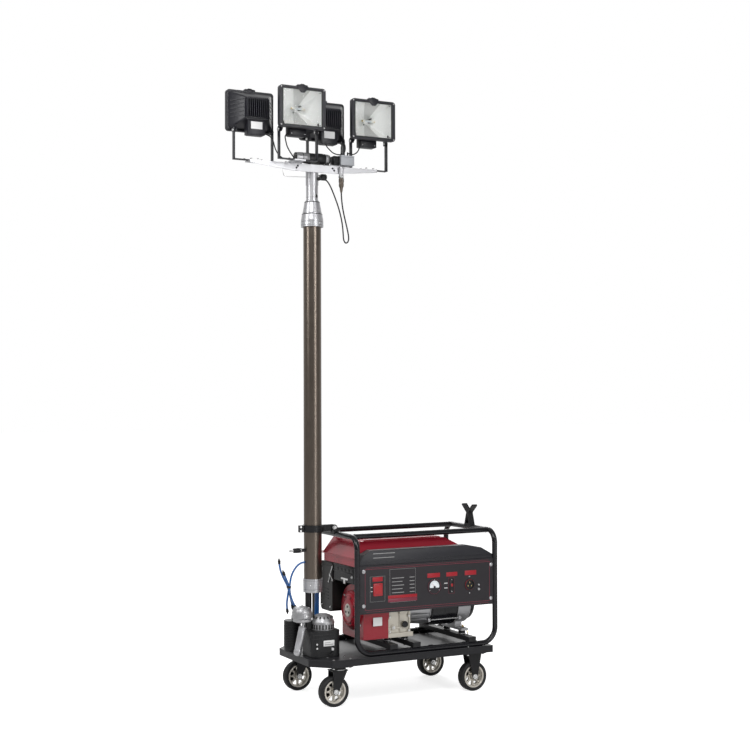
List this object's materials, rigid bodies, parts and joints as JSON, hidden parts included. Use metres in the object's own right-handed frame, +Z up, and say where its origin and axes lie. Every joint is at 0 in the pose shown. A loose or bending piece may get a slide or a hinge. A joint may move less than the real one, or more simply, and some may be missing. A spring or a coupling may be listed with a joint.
{
  "type": "mobile light tower",
  "caption": "Mobile light tower on casters: generator set in a tube frame, small compressor, folding telescopic mast and floodlights on a panning light bar.",
  "frame": {"origin": "on the floor, middle of the machine's box with the mast up and lowered", "axes": "+X along the deck away from the mast, -Y towards the control panel's side, +Z up"},
  "size_m": [1.3785, 0.532, 3.046],
  "materials": {
    "black_plastic": "moulded",
    "bracket_black": "black paint",
    "cable_black": "rubber sheath",
    "control_plastic": "moulded",
    "deck_black": "satin black paint",
    "deck_top": "satin black paint, dusty",
    "engine_casting": "sand cast",
    "engine_red": "gloss red paint",
    "fork_black": "black zinc",
    "grey_casting": "die cast",
    "hose_blue": "polyurethane hose",
    "lamp_black": "fine textured black",
    "lamp_glass": "clear",
    "mast_bronze": "bronze anodised",
    "muffler_steel": "heat dulled",
    "panel_black": "satin charcoal",
    "silver": "satin anodised",
    "tank_red": "gloss metallic red paint",
    "tube_black": "gloss black powder coat",
    "tyre": "moulded rubber",
    "wheel_silver": "die cast"
  },
  "bodies": {
    "chassis": {"deck_frame": "deck_black", "deck_plate": "deck_top", "frame_hoops": "tube_black", "frame_arches": "tube_black", "top_rails": "tube_black", "engine_crossbars": "bracket_black", "engine_block": "engine_casting", "fan_housing": "engine_red", "recoil_cover": "engine_red", "muffler": "muffler_steel", "air_cleaner": "black_plastic", "alternator_castings": "engine_casting", "alternator_barrel": "bracket_black", "fuel_tank": "tank_red", "fuel_cap": "black_plastic", "control_panel": "panel_black", "panel_controls": "control_plastic", "compressor_body": "black_plastic", "compressor_castings": "grey_casting", "compressor_head": "grey_casting", "mast_bracket": "bracket_black", "mast_rest_fork": "bracket_black", "mast_post": "bracket_black", "caster_plates": "bracket_black", "rigid_forks": "fork_black", "hose_bundle": "hose_blue"},
    "mast": {"mast_tube": "mast_bronze", "mast_collars": "silver", "mast_clamp": "bracket_black", "air_plug": "black_plastic", "hose_hank": "hose_blue"},
    "stage_two": {"section_two": "silver", "section_two_collar": "silver"},
    "stage_three": {"section_three": "silver"},
    "head": {"head_socket": "silver", "head_fittings": "black_plastic", "light_bar": "silver", "pan_motor": "grey_casting", "control_box": "silver", "lamp_brackets": "lamp_black", "head_cable": "cable_black", "lamp_leads": "cable_black"},
    "lamp_back_outer": {"lamp_housing_back_outer": "lamp_black", "lamp_glass_back_outer": "lamp_glass"},
    "lamp_front_inner": {"lamp_housing_front_inner": "lamp_black", "lamp_glass_front_inner": "lamp_glass"},
    "lamp_back_inner": {"lamp_housing_back_inner": "lamp_black", "lamp_glass_back_inner": "lamp_glass"},
    "lamp_front_outer": {"lamp_housing_front_outer": "lamp_black", "lamp_glass_front_outer": "lamp_glass"},
    "swivel_front": {"swivel_fork_front": "fork_black"},
    "wheel_left_front": {"tyre_left_front": "tyre", "wheel_centre_left_front": "wheel_silver"},
    "wheel_right_front": {"tyre_right_front": "tyre", "wheel_centre_right_front": "wheel_silver"},
    "swivel_back": {"swivel_fork_back": "fork_black"},
    "wheel_left_back": {"tyre_left_back": "tyre", "wheel_centre_left_back": "wheel_silver"},
    "wheel_right_back": {"tyre_right_back": "tyre", "wheel_centre_right_back": "wheel_silver"}
  },
  "joints": [
    {"name": "mast_fold", "type": "hinge", "parent": "chassis", "child": "mast", "pos_m": [-0.125, 0, 0.849], "axis": [0, 1, 0], "range_deg": [0, 90]},
    {"name": "mast_stage_two", "type": "slide", "parent": "mast", "child": "stage_two", "axis": [0, 0, 1], "range_m": [0, 1.45]},
    {"name": "mast_stage_three", "type": "slide", "parent": "stage_two", "child": "stage_three", "axis": [0, 0, 1], "range_m": [0, 1.45]},
    {"name": "head_pan", "type": "hinge", "parent": "stage_three", "child": "head", "pos_m": [-0.237, 0, 2.575], "axis": [0, 0, 1], "range_deg": [-175, 175]},
    {"name": "tilt_back_outer", "type": "hinge", "parent": "head", "child": "lamp_back_outer", "pos_m": [-0.557, 0, 2.819], "axis": [-1, 0, 0], "range_deg": [-8, 65]},
    {"name": "tilt_front_inner", "type": "hinge", "parent": "head", "child": "lamp_front_inner", "pos_m": [-0.353, -0.086, 2.825], "axis": [1, 0, 0], "range_deg": [-8, 65]},
    {"name": "tilt_back_inner", "type": "hinge", "parent": "head", "child": "lamp_back_inner", "pos_m": [-0.121, 0.086, 2.825], "axis": [-1, 0, 0], "range_deg": [-8, 65]},
    {"name": "tilt_front_outer", "type": "hinge", "parent": "head", "child": "lamp_front_outer", "pos_m": [0.083, 0, 2.819], "axis": [1, 0, 0], "range_deg": [-8, 65]},
    {"name": "swivel_turn_front", "type": "hinge", "parent": "chassis", "child": "swivel_front", "pos_m": [-0.197, -0.216, 0.18], "axis": [0, 0, 1], "continuous": true},
    {"name": "wheel_spin_left_front", "type": "hinge", "parent": "swivel_front", "child": "wheel_left_front", "pos_m": [-0.227, -0.216, 0.075], "axis": [0, 1, 0], "continuous": true},
    {"name": "wheel_spin_right_front", "type": "hinge", "parent": "chassis", "child": "wheel_right_front", "pos_m": [0.562, -0.216, 0.075], "axis": [0, 1, 0], "continuous": true},
    {"name": "swivel_turn_back", "type": "hinge", "parent": "chassis", "child": "swivel_back", "pos_m": [-0.197, 0.216, 0.18], "axis": [0, 0, 1], "continuous": true},
    {"name": "wheel_spin_left_back", "type": "hinge", "parent": "swivel_back", "child": "wheel_left_back", "pos_m": [-0.227, 0.216, 0.075], "axis": [0, 1, 0], "continuous": true},
    {"name": "wheel_spin_right_back", "type": "hinge", "parent": "chassis", "child": "wheel_right_back", "pos_m": [0.562, 0.216, 0.075], "axis": [0, 1, 0], "continuous": true}
  ]
}
